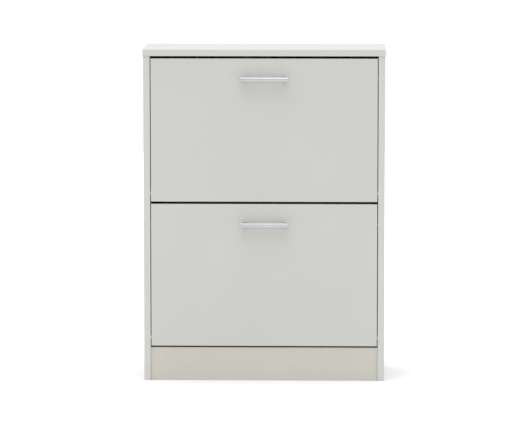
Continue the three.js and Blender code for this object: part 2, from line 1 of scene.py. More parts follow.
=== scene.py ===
"""The looks of a shoe cabinet with two tilting flaps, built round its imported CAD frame.

Pieces are drawn in millimetres and made in metres, +Z up. A flap's pieces are drawn about its hinge axis.
"""

import json
import math
import random

import bmesh
import bpy
from mathutils import Matrix, Vector


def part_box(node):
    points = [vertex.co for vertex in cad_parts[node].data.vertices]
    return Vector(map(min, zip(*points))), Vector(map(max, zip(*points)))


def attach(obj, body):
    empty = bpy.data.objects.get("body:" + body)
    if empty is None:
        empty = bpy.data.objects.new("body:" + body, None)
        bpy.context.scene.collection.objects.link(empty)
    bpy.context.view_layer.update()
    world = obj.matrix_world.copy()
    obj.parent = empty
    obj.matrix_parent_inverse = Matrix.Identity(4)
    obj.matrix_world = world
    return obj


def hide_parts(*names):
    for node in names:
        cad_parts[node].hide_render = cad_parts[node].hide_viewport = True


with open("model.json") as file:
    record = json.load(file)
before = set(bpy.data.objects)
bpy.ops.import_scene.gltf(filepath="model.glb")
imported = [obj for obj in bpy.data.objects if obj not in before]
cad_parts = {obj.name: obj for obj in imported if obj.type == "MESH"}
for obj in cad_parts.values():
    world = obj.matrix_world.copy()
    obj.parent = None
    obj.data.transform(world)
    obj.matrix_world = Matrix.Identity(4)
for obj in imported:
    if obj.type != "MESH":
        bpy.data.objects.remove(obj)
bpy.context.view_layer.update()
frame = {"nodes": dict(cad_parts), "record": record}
chance = random.Random(7)

MM = 0.001
FLAPS = ("upper", "lower")
SIDES = (("left", -1), ("right", 1))
CAM_PLACES = ("front", "rear")
ROUND = 40  # sides of a turned piece
FINE_ROUND = 24  # sides of a small one


# ---- Camera, floor and light ------------------------------------------------------------------------------

CAMERA_DISTANCE = 8.0  # from the front edge of the top
CAMERA_HEIGHT = 1.32
CAMERA_X = 0.18
CAMERA_PITCH = math.radians(6.406)
CAMERA_YAW = math.radians(-1.281)  # positive turns the camera to the right
CAMERA_LENS = 221.2


def camera():
    data = bpy.data.cameras.new("camera")
    data.lens = CAMERA_LENS
    data.sensor_width = 36
    data.clip_end = 100
    made = bpy.data.objects.new("camera", data)
    top_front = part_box("top_panel")[0].y
    made.location = (CAMERA_X, top_front - CAMERA_DISTANCE, CAMERA_HEIGHT)
    made.rotation_euler = (math.pi / 2 - CAMERA_PITCH, 0, -CAMERA_YAW)
    bpy.context.scene.collection.objects.link(made)
    bpy.context.scene.camera = made


WORLD_LIGHT = 1.0
SUN_LIGHT = 2.2
SUN_SOFTNESS = math.radians(70)
SUN_PLACE = (-0.1, -0.15, 1.0)
FLOOR_TONE = 0.76
FLOOR_ROUGHNESS = 0.8
FLOOR_HALF = 6  # from its middle to a side, in metres


def ground():
    """A pale matt floor."""
    mesh = bpy.data.meshes.new("floor")
    half = FLOOR_HALF
    corners = [(-half, -half, 0), (half, -half, 0), (half, half, 0), (-half, half, 0)]
    mesh.from_pydata(corners, [], [(0, 1, 2, 3)])
    floor = bpy.data.objects.new("floor", mesh)
    bpy.context.scene.collection.objects.link(floor)
    look = bpy.data.materials.new("floor")
    look.use_nodes = True
    shader = look.node_tree.nodes["Principled BSDF"]
    shader.inputs["Base Color"].default_value = (FLOOR_TONE, FLOOR_TONE, FLOOR_TONE, 1)
    shader.inputs["Roughness"].default_value = FLOOR_ROUGHNESS
    mesh.materials.append(look)


def surround():
    """An even white surround."""
    world = bpy.data.worlds.new("surround")
    world.use_nodes = True
    background = world.node_tree.nodes["Background"]
    background.inputs["Color"].default_value = (1, 1, 1, 1)
    background.inputs["Strength"].default_value = WORLD_LIGHT
    bpy.context.scene.world = world


def overhead_light():
    """One broad soft light from above and in front."""
    data = bpy.data.lights.new("overhead", "SUN")
    data.energy = SUN_LIGHT
    data.angle = SUN_SOFTNESS
    overhead = bpy.data.objects.new("overhead", data)
    overhead.rotation_euler = (-Vector(SUN_PLACE)).to_track_quat("-Z", "Y").to_euler()
    bpy.context.scene.collection.objects.link(overhead)


def studio():
    ground()
    surround()
    overhead_light()
    bpy.context.scene.view_settings.view_transform = "Standard"


# ---- Materials --------------------------------------------------------------------------------------------

WAVE_PITCH = 0.314  # metres between a wave texture's lines at scale 1


class Look:
    """A material under construction: its nodes, and short names for making and joining them."""

    def __init__(self, name, roughness, metallic=0.0, specular=0.5):
        self.material = bpy.data.materials.new(name)
        self.material.use_nodes = True
        self.tree = self.material.node_tree
        self.shader = self.tree.nodes["Principled BSDF"]
        self.shader.inputs["Roughness"].default_value = roughness
        self.shader.inputs["Metallic"].default_value = metallic
        self.shader.inputs["Specular IOR Level"].default_value = specular
        self.place = self.tree.nodes.new("ShaderNodeTexCoord").outputs["Object"]

    def link(self, source, target):
        self.tree.links.new(source, target)

    def noise(self, scale, detail=3.0, stretch=(1, 1, 1)):
        """A noise value in the piece's own coordinates. scale is in features per metre."""
        spread = self.tree.nodes.new("ShaderNodeMapping")
        spread.inputs["Scale"].default_value = stretch
        self.link(self.place, spread.inputs["Vector"])
        node = self.tree.nodes.new("ShaderNodeTexNoise")
        node.inputs["Scale"].default_value = scale
        node.inputs["Detail"].default_value = detail
        self.link(spread.outputs["Vector"], node.inputs["Vector"])
        return node.outputs["Fac"]

    def cells(self, scale):
        """Colour cells of random tone, as chips or granules have."""
        node = self.tree.nodes.new("ShaderNodeTexVoronoi")
        node.inputs["Scale"].default_value = scale
        self.link(self.place, node.inputs["Vector"])
        grey = self.tree.nodes.new("ShaderNodeRGBToBW")
        self.link(node.outputs["Color"], grey.inputs["Color"])
        return grey.outputs["Val"]

    def screen(self, pitch):
        """A square mesh pattern with its lines pitch metres apart, across X and Z."""
        lines = []
        for direction in ("X", "Z"):
            node = self.tree.nodes.new("ShaderNodeTexWave")
            node.bands_direction = direction
            node.inputs["Scale"].default_value = WAVE_PITCH / pitch
            self.link(self.place, node.inputs["Vector"])
            lines.append(node.outputs["Fac"])
        crossed = self.tree.nodes.new("ShaderNodeMath")
        crossed.operation = "MULTIPLY"
        self.link(lines[0], crossed.inputs[0])
        self.link(lines[1], crossed.inputs[1])
        return crossed.outputs["Value"]

    def ramp(self, value, stops):
        """A colour from a value: stops are (position, (r, g, b))."""
        node = self.tree.nodes.new("ShaderNodeValToRGB")
        elements = node.color_ramp.elements
        while len(elements) < len(stops):
            elements.new(0.5)
        for element, (position, colour) in zip(elements, stops):
            element.position = position
            element.color = (*colour, 1)
        self.link(value, node.inputs["Fac"])
        return node.outputs["Color"]

    def spread(self, value, low, high):
        """A value moved from the middle of noise's range to low..high."""
        node = self.tree.nodes.new("ShaderNodeMapRange")
        node.inputs["From Min"].default_value = 0.3
        node.inputs["From Max"].default_value = 0.7
        node.inputs["To Min"].default_value = low
        node.inputs["To Max"].default_value = high
        self.link(value, node.inputs["Value"])
        return node.outputs["Result"]

    def mix(self, factor, first, second):
        node = self.tree.nodes.new("ShaderNodeMix")
        node.data_type = "RGBA"
        self.link(factor, node.inputs["Factor"])
        self.link(first, node.inputs["A"])
        self.link(second, node.inputs["B"])
        return node.outputs["Result"]

    def edge_wear(self, reach=0.7 * MM):
        """Near edges and corners, which get rubbed: where a rounded normal leaves the true one."""
        rounded = self.tree.nodes.new("ShaderNodeBevel")
        rounded.samples = 6
        rounded.inputs["Radius"].default_value = reach
        true = self.tree.nodes.new("ShaderNodeNewGeometry")
        agree = self.tree.nodes.new("ShaderNodeVectorMath")
        agree.operation = "DOT_PRODUCT"
        self.link(rounded.outputs["Normal"], agree.inputs[0])
        self.link(true.outputs["Normal"], agree.inputs[1])
        node = self.tree.nodes.new("ShaderNodeMapRange")
        node.inputs["From Min"].default_value = 0.99
        node.inputs["From Max"].default_value = 0.85
        self.link(agree.outputs["Value"], node.inputs["Value"])
        return node.outputs["Result"]

    def colour(self, source):
        self.link(source, self.shader.inputs["Base Color"])

    def roughness(self, source):
        self.link(source, self.shader.inputs["Roughness"])

    def bump(self, height, distance, strength=0.5):
        """Surface relief. distance is in metres, as deep as the real relief."""
        node = self.tree.nodes.new("ShaderNodeBump")
        node.inputs["Distance"].default_value = distance
        node.inputs["Strength"].default_value = strength
        self.link(height, node.inputs["Height"])
        self.link(node.outputs["Normal"], self.shader.inputs["Normal"])


def shade(colour, factor):
    return tuple(channel * factor for channel in colour)


def melamine(name, colour):
    """Satin melamine paper, faintly cloudy, with a fine pearl in its gloss, paler at rubbed edges."""
    look = Look(name, 0.42)
    cloud = look.noise(6, 2)
    base = look.ramp(cloud, [(0.3, shade(colour, 0.985)), (0.7, shade(colour, 1.01))])
    rubbed = look.ramp(cloud, [(0.0, shade(colour, 1.05)), (1.0, shade(colour, 1.06))])
    look.colour(look.mix(look.edge_wear(), base, rubbed))
    look.roughness(look.spread(look.noise(40, 4), 0.38, 0.46))
    look.bump(look.noise(900, 2), 0.03 * MM, 0.35)
    return look.material


def chipboard():
    """The raw edge of a particleboard: flat chips from straw to brown, with open pores."""
    look = Look("chipboard", 0.9, specular=0.2)
    chips = look.cells(420)
    tones = [(0.1, (0.2, 0.11, 0.05)), (0.5, (0.42, 0.27, 0.14)), (0.9, (0.6, 0.44, 0.26))]
    look.colour(look.ramp(chips, tones))
    look.roughness(look.spread(look.noise(300), 0.82, 0.95))
    look.bump(chips, 0.25 * MM, 0.8)
    return look.material


def hardboard():
    """Pressed brown hardboard, with fibres and darker flecks."""
    look = Look("hardboard", 0.75, specular=0.3)
    fibre = look.noise(260, 6, (1, 1, 0.35))
    tones = [(0.3, (0.13, 0.07, 0.03)), (0.5, (0.24, 0.135, 0.06)), (0.72, (0.33, 0.2, 0.1))]
    look.colour(look.ramp(fibre, tones))
    look.roughness(look.spread(look.noise(30), 0.68, 0.82))
    look.bump(fibre, 0.12 * MM, 0.6)
    return look.material


def hardboard_back():
    """The rear of hardboard, which keeps the square print of the wire screen it was pressed on."""
    look = Look("hardboard_back", 0.85, specular=0.2)
    fibre = look.noise(200, 6)
    look.colour(look.ramp(fibre, [(0.3, (0.15, 0.085, 0.04)), (0.7, (0.3, 0.185, 0.095))]))
    look.roughness(look.spread(look.noise(25), 0.8, 0.92))
    look.bump(look.screen(2.2 * MM), 0.15 * MM, 0.7)
    return look.material


def glue_line():
    """The thin dark line of glue between an edge band and the board."""
    look = Look("glue_line", 0.55)
    cloud = look.noise(300)
    look.colour(look.ramp(cloud, [(0.3, (0.3, 0.27, 0.22)), (0.7, (0.38, 0.35, 0.29))]))
    look.roughness(look.spread(cloud, 0.45, 0.65))
    return look.material


def lacquered_board():
    """Hardboard with a thin pale lacquer, through which the fibres still show."""
    look = Look("lacquered_board", 0.5)
    fibre = look.noise(240, 5, (1, 1, 0.35))
    base = look.ramp(fibre, [(0.3, (0.43, 0.425, 0.39)), (0.7, (0.49, 0.48, 0.45))])
    worn = look.ramp(fibre, [(0.0, (0.36, 0.28, 0.2)), (1.0, (0.46, 0.38, 0.28))])
    look.colour(look.mix(look.edge_wear(0.5 * MM), base, worn))
    look.roughness(look.spread(look.noise(60), 0.42, 0.58))
    look.bump(fibre, 0.05 * MM, 0.5)
    return look.material


def moulded_plastic(name, colour, grain):
    """Injection-moulded plastic with a spark-eroded grain. grain is its depth in metres."""
    look = Look(name, 0.5)
    cloud = look.noise(12)
    base = look.ramp(cloud, [(0.3, shade(colour, 0.96)), (0.7, shade(colour, 1.03))])
    rubbed = look.ramp(cloud, [(0.0, shade(colour, 1.1)), (1.0, shade(colour, 1.12))])
    look.colour(look.mix(look.edge_wear(), base, rubbed))
    look.roughness(look.spread(look.noise(120), 0.42, 0.56))
    look.bump(look.noise(1600, 2), grain, 0.6)
    return look.material


def satin_metal():
    """Satin nickel brushed along the bar, with long fine scratches, brighter where it is rubbed."""
    look = Look("satin_metal", 0.3, metallic=1.0)
    lines = look.noise(1400, 3, (0.02, 1, 1))
    cloud = look.noise(20)
    base = look.ramp(cloud, [(0.3, (0.47, 0.47, 0.5)), (0.7, (0.54, 0.54, 0.57))])
    rubbed = look.ramp(cloud, [(0.0, (0.6, 0.6, 0.62)), (1.0, (0.64, 0.64, 0.66))])
    look.colour(look.mix(look.edge_wear(), base, rubbed))
    look.roughness(look.spread(lines, 0.26, 0.42))
    look.bump(lines, 0.015 * MM, 0.4)
    return look.material


def zinc_plate():
    """Bright zinc plating on steel, faintly cloudy, duller in the hollows."""
    look = Look("zinc_plate", 0.35, metallic=1.0)
    cloud = look.noise(180, 4)
    base = look.ramp(cloud, [(0.3, (0.42, 0.43, 0.46)), (0.7, (0.6, 0.6, 0.62))])
    rubbed = look.ramp(cloud, [(0.0, (0.68, 0.68, 0.69)), (1.0, (0.74, 0.74, 0.74))])
    look.colour(look.mix(look.edge_wear(), base, rubbed))
    look.roughness(look.spread(cloud, 0.28, 0.45))
    look.bump(look.noise(900), 0.02 * MM, 0.4)
    return look.material


# Linear colours of the painted surfaces
FRONT_COLOUR = (0.48, 0.486, 0.46)
# The plinth's colour is the fronts' melamine made warmer and darker: the shade and floor reflection down by
# the floor, painted into its colour.
PLINTH_PAINTED_SHADE_COLOUR = (0.48, 0.462, 0.42)

LOOKS = {
    "melamine": melamine("melamine", FRONT_COLOUR),
    "edge_band": melamine("edge_band", shade(FRONT_COLOUR, 1.04)),
    # The plinth's copy of the melamine, with painted shade and floor reflection in its colour.
    "plinth_melamine": melamine("plinth_melamine", PLINTH_PAINTED_SHADE_COLOUR),
    "chipboard": chipboard(),
    "glue_line": glue_line(),
    "hardboard": hardboard(),
    "hardboard_back": hardboard_back(),
    "rack_board": lacquered_board(),
    "rack_plastic": moulded_plastic("rack_plastic", (0.5, 0.5, 0.47), 0.04 * MM),
    "nylon": moulded_plastic("nylon", (0.58, 0.57, 0.52), 0.015 * MM),
    "satin_metal": satin_metal(),
    "zinc_steel": zinc_plate(),
}


# ---- Solids -----------------------------------------------------------------------------------------------

PAST = 1  # how far a cutter runs past what it cuts
MATERIAL_SLOTS = 4  # every solid has them, so that cutting and joining keep each face's material
SHARP = 30  # degrees between faces whose edge is rounded
SMOOTH = 50  # degrees between faces that are shaded as one surface, as the two steps of a rounding are


def solid(shape, material_index=None):
    """A mesh from a bmesh in millimetres, with its faces turned outwards."""
    if material_index is not None:
        for face in shape.faces:
            face.material_index = material_index
    bmesh.ops.recalc_face_normals(shape, faces=shape.faces)
    bmesh.ops.scale(shape, vec=(MM, MM, MM), verts=shape.verts)
    mesh = bpy.data.meshes.new("solid")
    for _ in range(MATERIAL_SLOTS):
        mesh.materials.append(None)
    shape.to_mesh(mesh)
    shape.free()
    return mesh


def block(low, high):
    """A bmesh box between two corners."""
    shape = bmesh.new()
    middle = (Vector(low) + Vector(high)) / 2
    size = [abs(b - a) for a, b in zip(low, high)]
    bmesh.ops.create_cube(shape, size=1, matrix=Matrix.Translation(middle) @ Matrix.Diagonal((*size, 1)))
    return shape


def box(low, high):
    return solid(block(low, high), 0)


def loft(rings, material_index=0):
    """A closed solid through rings of points. Every ring has the same number of points."""
    shape = bmesh.new()
    made = [[shape.verts.new(point) for point in ring] for ring in rings]
    for lower, upper in zip(made, made[1:]):
        for i in range(len(lower)):
            j = (i + 1) % len(lower)
            shape.faces.new((lower[i], lower[j], upper[j], upper[i]))
    shape.faces.new(made[0][::-1])
    shape.faces.new(made[-1])
    return solid(shape, material_index)


def prism(outline, x0, x1, material_index=0):
    """A slab across X with an outline of (y, z) points."""
    return loft([[(x, y, z) for y, z in outline] for x in (x0, x1)], material_index)


def turned(profile, axis="Z", centre=(0, 0, 0), sides=ROUND, material_index=0):
    """A turned solid. profile is (place along the axis, radius) and starts and ends on the axis."""
    shape = bmesh.new()
    index = "XYZ".index(axis)
    across = [(index + 1) % 3, (index + 2) % 3]

    def point(along, radius, turn):
        place = list(centre)
        place[index] += along
        place[across[0]] += radius * math.cos(turn)
        place[across[1]] += radius * math.sin(turn)
        return shape.verts.new(place)

    turns = [2 * math.pi * i / sides for i in range(sides)]
    first = point(*profile[0], 0)
    last = point(*profile[-1], 0)
    rings = [[point(along, radius, turn) for turn in turns] for along, radius in profile[1:-1]]
    for lower, upper in zip(rings, rings[1:]):
        for i in range(sides):
            j = (i + 1) % sides
            shape.faces.new((lower[i], lower[j], upper[j], upper[i]))
    for i in range(sides):
        j = (i + 1) % sides
        shape.faces.new((first, rings[0][j], rings[0][i]))
        shape.faces.new((last, rings[-1][i], rings[-1][j]))
    return solid(shape, material_index)


def rod(start, end, radius, axis, centre, sides=FINE_ROUND, material_index=0):
    profile = [(start, 0), (start, radius), (end, radius), (end, 0)]
    return turned(profile, axis, centre, sides, material_index)


def bench(mesh):
    """A passing object that carries a mesh while it is worked on."""
    made = bpy.data.objects.new("work", mesh)
    bpy.context.scene.collection.objects.link(made)
    return made


def finished(work, *tools):
    """The worked mesh. The passing objects are removed."""
    bpy.context.view_layer.update()
    result = bpy.data.meshes.new_from_object(work.evaluated_get(bpy.context.evaluated_depsgraph_get()))
    for made in (work, *tools):
        bpy.data.objects.remove(made)
    return result


def shaped(mesh, operation, *others):
    """A mesh with other solids joined to it (UNION) or cut from it (DIFFERENCE)."""
    work = bench(mesh)
    tools = [bench(other) for other in others]
    for tool in tools:
        change = work.modifiers.new("change", "BOOLEAN")
        change.operation = operation
        change.solver = "EXACT"
        change.object = tool
    return finished(work, *tools)


def eased(mesh, width):
    """A mesh with its sharp edges rounded. Cutting comes after, as it leaves edges too short to round."""
    work = bench(mesh)
    change = work.modifiers.new("edges", "BEVEL")
    change.width = width * MM
    change.segments = 2
    change.limit_method = "ANGLE"
    change.angle_limit = math.radians(SHARP)
    return finished(work)


def arc(centre, radius, start, end, steps=24):
    """Points (y, z) along an arc, in radians from +Y towards +Z."""
    turns = [start + (end - start) * i / steps for i in range(steps + 1)]
    return [(centre[0] + radius * math.cos(turn), centre[1] + radius * math.sin(turn)) for turn in turns]


def rounded(outline, radii, steps=6):
    """An outline with arcs in place of the corners that have a radius."""
    points = []
    for i, (corner, radius) in enumerate(zip(outline, radii)):
        if not radius:
            points.append(corner)
            continue
        here = Vector(corner)
        back = (Vector(outline[i - 1]) - here).normalized()
        ahead = (Vector(outline[(i + 1) % len(outline)]) - here).normalized()
        half = back.angle(ahead) / 2
        middle = here + (back + ahead).normalized() * (radius / math.sin(half))
        start = here + back * (radius / math.tan(half)) - middle
        end = here + ahead * (radius / math.tan(half)) - middle
        for step in range(steps + 1):
            points.append(tuple(middle + start.lerp(end, step / steps).normalized() * radius))
    return points


def strip(start, end, width):
    """The outline of a straight strip of a width along a line."""
    along = (Vector(end) - Vector(start)).normalized()
    side = Vector((-along.y, along.x)) * (width / 2)
    return [tuple(Vector(p) + s) for p, s in ((start, side), (end, side), (end, -side), (start, -side))]


# ---- Placing pieces ---------------------------------------------------------------------------------------


def cad(node):
    """A CAD node's lowest and highest corner, in millimetres."""
    return [Vector(corner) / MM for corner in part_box(node)]


def centre_of(node):
    low, high = cad(node)
    return (low + high) / 2


def body_of_node(node):
    return next(body for body, members in frame["record"]["behaviour"]["bodies"].items() if node in members)


def slot_of_node(node):
    return next(part["material_slot"] for part in frame["record"]["subparts"] if part["node"] == node)


def axis_of(flap):
    """A flap's hinge axis, in metres: the origin of its pieces."""
    pin = centre_of(f"{flap}_hinge_pin_left") * MM
    return Vector((0, pin.y, pin.z))


def piece(node, mesh, looks=(), place=Matrix.Identity(4), smooth=SMOOTH, suffix="piece"):
    """Puts a mesh in place of a CAD node, on that node's body and in its slot."""
    made = bpy.data.objects.new(f"{node}_{suffix}", mesh)
    bpy.context.scene.collection.objects.link(made)
    made.matrix_world = place
    looks = looks or [slot_of_node(node)]
    while len(mesh.materials) < len(looks):
        mesh.materials.append(None)
    for index, look in enumerate(looks):
        mesh.materials[index] = LOOKS[look]
    while len(mesh.materials) > len(looks):
        mesh.materials.pop()
    for polygon in mesh.polygons:
        polygon.use_smooth = True
    mesh.set_sharp_from_angle(angle=math.radians(smooth))
    flat = made.modifiers.new("flat faces stay flat", "WEIGHTED_NORMAL")
    flat.keep_sharp = True
    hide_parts(node)
    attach(made, body_of_node(node))


# ---- Boards -----------------------------------------------------------------------------------------------

BAND = 0.8  # thickness of an edge band
GLUE = 0.12
EDGE_ROUND = 0.45
FACE, EDGE, RAW, LINE = range(4)  # a board's materials

BORE_OVERRUN = 0.5  # past both ends of what sits in the bore
LOOSE, TIGHT = 0.3, 0.1  # clearance round it
CAM_RADIUS = 7.5
CAM_BOLT_RADIUS = 3
BUSH_RADIUS = 5
PEG_RADIUS = 2.5
PIN_RADIUS = 3
GUIDE_RADIUS = 1.5
SCREW_RADIUS = 2


def axis_and_sign(edge):
    """A board's edge by its name, such as "-Y"."""
    return "XYZ".index(edge[1]), -1 if edge[0] == "-" else 1


def board_mesh(node, thin_axis, banded):
    """A melamine board with a band and its glue line on each named edge, such as "-Y", raw on the others."""
    low, high = cad(node)
    shape = block(low, high)
    for edge in banded:
        axis, sign = axis_and_sign(edge)
        outer = low[axis] if sign < 0 else high[axis]
        across = Vector((0, 0, 0))
        across[axis] = 1
        for inset in (BAND, BAND + GLUE):
            place = (low + high) / 2
            place[axis] = outer - sign * inset
            everything = shape.verts[:] + shape.edges[:] + shape.faces[:]
            bmesh.ops.bisect_plane(shape, geom=everything, plane_co=place, plane_no=across)
    shape.normal_update()
    for face in shape.faces:
        face.material_index = board_material(face, low, high, thin_axis, banded)
    return solid(shape)


def board_material(face, low, high, thin_axis, banded):
    place = face.calc_center_median()
    facing = max(range(3), key=lambda i: abs(face.normal[i]))
    depth = BAND + GLUE
    for edge in banded:
        axis, sign = axis_and_sign(edge)
        depth = min(depth, place[axis] - low[axis] if sign < 0 else high[axis] - place[axis])
    if depth < BAND:
        return EDGE
    if depth < BAND + GLUE:
        return LINE
    return FACE if facing == thin_axis else RAW


def board(node, thin_axis, banded, bores=(), face="melamine"):
    mesh = eased(board_mesh(node, thin_axis, banded), EDGE_ROUND)
    if bores:
        mesh = shaped(mesh, "DIFFERENCE", *bores)
    edge = face if face != "melamine" else "edge_band"
    piece(node, mesh, (face, edge, "chipboard", "glue_line"), suffix="board")


def bore(node, axis, radius, clearance=LOOSE):
    """The hole that a turned CAD node's shank sits in."""
    low, high = cad(node)
    index = "XYZ".index(axis)
    middle = (low + high) / 2
    middle[index] = 0
    start, end = low[index] - BORE_OVERRUN, high[index] + BORE_OVERRUN
    return rod(start, end, radius + clearance, axis, middle, material_index=RAW)


def cam_bolt_bores(side):
    return [bore(f"cam_bolt_{place}_{side}", "Z", CAM_BOLT_RADIUS) for place in CAM_PLACES]


def side_bores(side):
    drums = [bore(f"cam_{place}_{side}", "X", CAM_RADIUS) for place in CAM_PLACES]
    bushes = [bore(f"{flap}_bush_{side}", "X", BUSH_RADIUS, TIGHT) for flap in FLAPS]
    pegs = [bore(f"{flap}_stop_peg_{side}", "X", PEG_RADIUS, TIGHT) for flap in FLAPS]
    return drums + cam_bolt_bores(side) + bushes + pegs


def front_bores(flap):
    pins = [bore(f"{flap}_hinge_pin_{side}", "X", PIN_RADIUS, TIGHT) for side, _ in SIDES]
    guides = [bore(f"{flap}_guide_button_{side}", "X", GUIDE_RADIUS, TIGHT) for side, _ in SIDES]
    handle_screws = [bore(f"{flap}_handle_screw_{side}", "Y", SCREW_RADIUS) for side, _ in SIDES]
    return pins + guides + handle_screws


def top_bores():
    """The cam bolts' holes, front ones first."""
    return [
        bore(f"cam_bolt_{place}_{side}", "Z", CAM_BOLT_RADIUS)
        for place in CAM_PLACES
        for side, _ in SIDES
    ]


def boards():
    board("top_panel", 2, ("-Y", "-X", "+X"), top_bores())
    for side, _ in SIDES:
        board(f"side_panel_{side}", 0, ("-Y",), side_bores(side))
    board("base_panel", 2, ("-Y",))
    # The plinth has the melamine copy with painted shade and floor reflection.
    board("plinth", 1, (), face="plinth_melamine")
    board("middle_rail", 1, ("-Z", "+Z"))
    for flap in FLAPS:
        board(f"{flap}_front", 1, ("-X", "+X", "-Z", "+Z"), front_bores(flap))


# ---- Hardboard sheets -------------------------------------------------------------------------------------

PALE, REAR, CUT, NAIL = range(4)  # a back board's materials
BACK_ROUND = 0.2
SHEET_ROUND = 0.3
NAIL_PITCH = 92
NAIL_IN_X, NAIL_IN_Z = 4, 8  # from the sheet's edges
NAIL_WANDER = 1.5
# A nail's shank and domed head, outward from the sheet's rear face.
NAIL_PROFILE = [(-1.5, 0), (-1.5, 0.6), (-0.1, 0.7), (-0.1, 1.6), (0.1, 1.7), (0.35, 1.2), (0.42, 0)]
NAIL_SIDES = 16
BASE_NAILS, RAIL_FOOT_NAILS, RAIL_HEAD_NAILS = 75, 424, 466  # heights of the rows into base panel and rail
WALL_HOLE_RADIUS = 2.6
WALL_HOLE_DROP = 23  # below the top panel


def nail_places(low, high, rows):
    """Nails up both side edges, and along the rows at the given heights."""
    left, right = low.x + NAIL_IN_X, high.x - NAIL_IN_X
    climbs = round((high.z - low.z) / NAIL_PITCH)
    climb = high.z - low.z - 2 * NAIL_IN_Z
    heights = [low.z + NAIL_IN_Z + climb * i / climbs for i in range(climbs + 1)]
    places = [(x, z) for x in (left, right) for z in heights]
    steps = round((right - left) / NAIL_PITCH)
    places += [(left + (right - left) * i / steps, z) for z in rows for i in range(1, steps)]
    return [(x + wander(), z + wander()) for x, z in places]


def wander():
    return chance.uniform(-NAIL_WANDER, NAIL_WANDER)


def wall_hole_z():
    """The height of the wall screw's hole."""
    return cad("wall_bracket")[1].z - WALL_HOLE_DROP


def back_board_face(facing):
    """The material of a back board's face, from which way it faces along Y."""
    if facing < -0.5:
        return PALE
    return REAR if facing > 0.5 else CUT


def back_board(node, rows):
    """A hardboard back, pale inside and brown behind, held by nails with small domed heads."""
    low, high = cad(node)
    mesh = board_mesh(node, 1, ())
    for polygon in mesh.polygons:
        polygon.material_index = back_board_face(polygon.normal.y)
    mesh = eased(mesh, BACK_ROUND)
    if node == "back_board_upper":
        centre = (0, 0, wall_hole_z())
        hole = rod(low.y - PAST, high.y + PAST, WALL_HOLE_RADIUS, "Y", centre, material_index=CUT)
        mesh = shaped(mesh, "DIFFERENCE", hole)
    shape = bmesh.new()
    shape.from_mesh(mesh)
    for x, z in nail_places(low, high, rows):
        shape.from_mesh(turned(NAIL_PROFILE, "Y", (x, high.y, z), NAIL_SIDES, NAIL))
    shape.to_mesh(mesh)
    shape.free()
    looks = ("rack_board", "hardboard_back", "hardboard", "zinc_steel")
    piece(node, mesh, looks, suffix="sheet")


def rack_board(node):
    """A lacquered hardboard sheet with raw edges, standing where the CAD sheet stands."""
    shape = bmesh.new()
    shape.from_mesh(frame["nodes"][node].data)
    bmesh.ops.remove_doubles(shape, verts=shape.verts, dist=0.01 * MM)
    flat = math.radians(1)
    bmesh.ops.dissolve_limit(shape, angle_limit=flat, verts=shape.verts, edges=shape.edges)
    largest = max(face.calc_area() for face in shape.faces)
    for face in shape.faces:
        face.material_index = 0 if face.calc_area() > largest / 2 else 1
    mesh = bpy.data.meshes.new("sheet")
    shape.to_mesh(mesh)
    shape.free()
    piece(node, eased(mesh, SHEET_ROUND), ("rack_board", "hardboard"), suffix="sheet")


# ---- Turned fittings --------------------------------------------------------------------------------------

# Profiles are (distance outward from a side panel's inner face, radius).
# A flanged blind bush. Its flange stands proud of the side panel.
BUSH_BARREL = [(10.5, 0), (10.5, 4.6), (10.1, 5), (7.5, 5), (7.3, 4.8), (5.5, 4.8), (5.3, 5), (0, 5)]
BUSH_FLANGE = [(0, 7), (-0.6, 7), (-1, 6.6), (-1, 3.7)]
BUSH_INSIDE = [(-0.7, 3.4), (9.8, 3.4), (9.8, 0)]
BUSH = BUSH_BARREL + BUSH_FLANGE + BUSH_INSIDE
# A stop peg: a domed tip, a collar against the panel, and a ribbed shank in it.
PEG_TIP = [(-9.9, 0), (-9.9, 2.6), (-9.6, 3.4), (-9, 3.9), (-8.4, 4), (-2, 4)]
PEG_COLLAR = [(-2, 6.6), (-1.7, 6.9), (-1.2, 7), (0, 7)]
PEG_SHANK = [(0, 2.5), (3, 2.5), (3.3, 2.3), (5, 2.5), (5.3, 2.3), (7, 2.5), (9.4, 2.3), (10, 1.6), (10, 0)]
PEG = PEG_TIP + PEG_COLLAR + PEG_SHANK
# A guide button: a low dome on a stem.
BUTTON_STEM = [(-10, 0), (-10, 1.2), (-9.6, 1.5), (-2, 1.5)]
BUTTON_DOME = [(-2, 4), (-1.2, 4), (-0.8, 3.6), (-0.5, 2.6), (-0.4, 0)]
BUTTON = BUTTON_STEM + BUTTON_DOME
# A hinge pin: a steel dowel with chamfered ends and a shallow groove round it.
PIN_IN_FRONT = [(-20, 0), (-20, 2.5), (-19.5, 3), (-12, 3)]
PIN_GROOVE = [(-11.8, 2.85), (-10, 2.85), (-9.8, 3)]
PIN_IN_BUSH = [(9, 3), (9.5, 2.5), (9.5, 0)]
PIN = PIN_IN_FRONT + PIN_GROOVE + PIN_IN_BUSH

# Degrees between faces that are shaded as one surface, on pieces that need less than SMOOTH
SOFT_SMOOTH, CRISP_SMOOTH, PIN_SMOOTH = 40, 35, 30


def outward(profile, sign, face_x):
    """A profile's distances outward from a side panel's inner face, as places along X."""
    return [(sign * (face_x + along), radius) for along, radius in profile]


def side_fittings():
    """Bushes, stop pegs, guide buttons and hinge pins."""
    face_x = cad("side_panel_right")[0].x
    for side, sign in SIDES:
        for flap in FLAPS:
            for node, profile, smooth in (
                (f"{flap}_bush_{side}", BUSH, SOFT_SMOOTH),
                (f"{flap}_stop_peg_{side}", PEG, SOFT_SMOOTH),
                (f"{flap}_guide_button_{side}", BUTTON, SOFT_SMOOTH),
                (f"{flap}_hinge_pin_{side}", PIN, PIN_SMOOTH),
            ):
                middle = centre_of(node)
                middle.x = 0
                mesh = turned(outward(profile, sign, face_x), "X", middle)
                piece(node, mesh, smooth=smooth, suffix="turned")


RECESS_TAPER = 0.45  # the reach of a recess at its bottom, of that at its mouth


